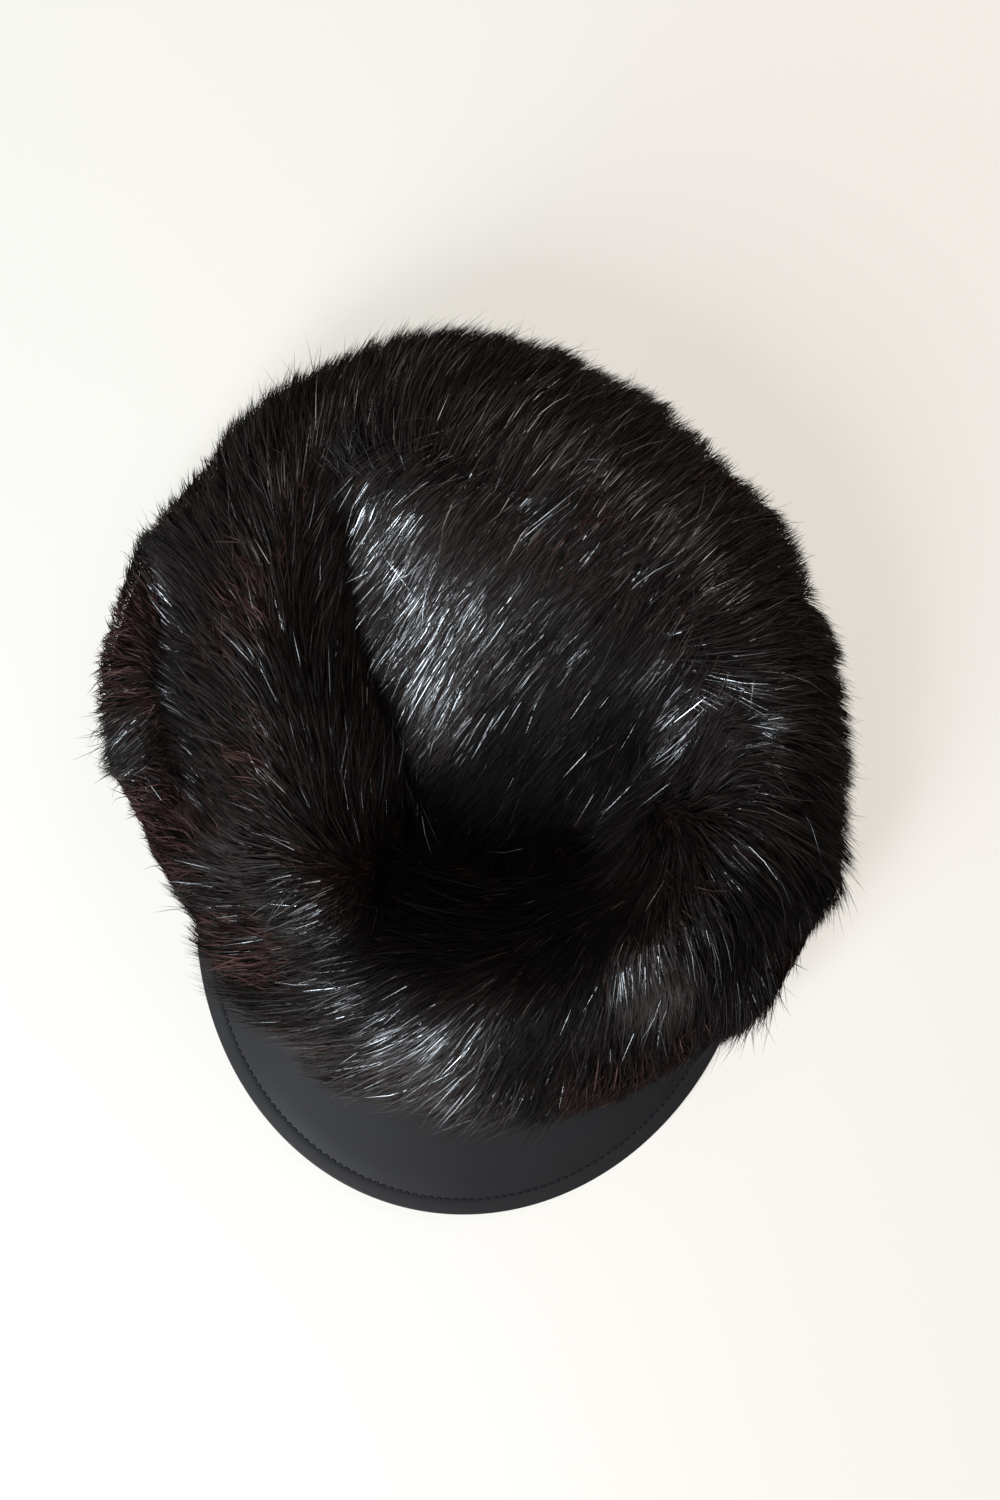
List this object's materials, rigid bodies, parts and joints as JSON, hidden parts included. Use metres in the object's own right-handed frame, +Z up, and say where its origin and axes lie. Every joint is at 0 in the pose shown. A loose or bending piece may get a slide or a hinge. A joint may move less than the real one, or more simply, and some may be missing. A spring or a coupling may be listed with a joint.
{
  "type": "fur cap",
  "caption": "Slouchy peaked cap of long dark fur, lying slumped in soft rolls, with a smooth leather peak.",
  "frame": {"origin": "middle of the bounding box in plan, on the surface the cap lies on", "axes": "+Z up from the surface, -Y towards the peak's front edge, +X to the right seen from above with the peak nearest"},
  "size_m": [0.2718, 0.3072, 0.1114],
  "materials": {
    "fur": "long glossy fur, near black over dark brown underfur",
    "peak_leather": "smooth satin charcoal leather"
  },
  "bodies": {
    "root": {"crown": "fur", "peak": "peak_leather"}
  },
  "joints": []
}
